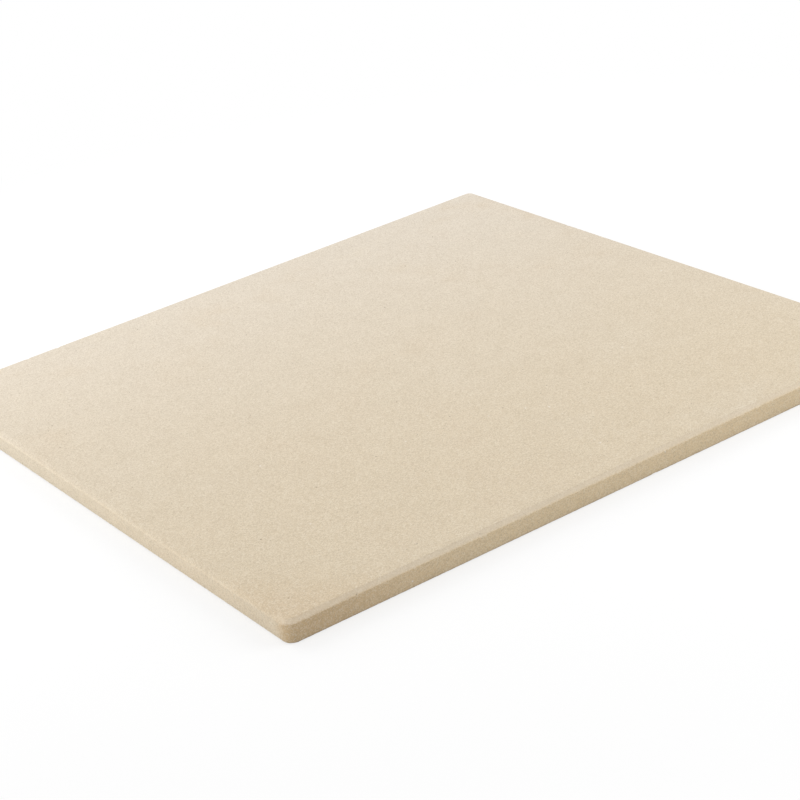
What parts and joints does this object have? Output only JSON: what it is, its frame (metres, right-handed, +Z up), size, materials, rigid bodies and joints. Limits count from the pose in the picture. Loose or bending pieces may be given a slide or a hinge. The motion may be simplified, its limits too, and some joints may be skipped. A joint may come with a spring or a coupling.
{
  "type": "pizza stone",
  "caption": "Square unglazed ceramic baking slab with rounded corners, a 45 degree bevel round its baking face and a flat underside that rests on an oven rack or grill grate.",
  "frame": {"origin": "middle of the underside, on the surface that the stone rests on", "axes": "+Z up out of the baking face, +X along one side of the square and +Y along the side next to it"},
  "size_m": [0.381, 0.381, 0.0117],
  "materials": {
    "fired_cordierite": "unglazed, matt, pale sand colour with a fine gritty grain and sparse dark specks"
  },
  "bodies": {
    "root": {"baking_stone": "fired_cordierite"}
  },
  "joints": []
}
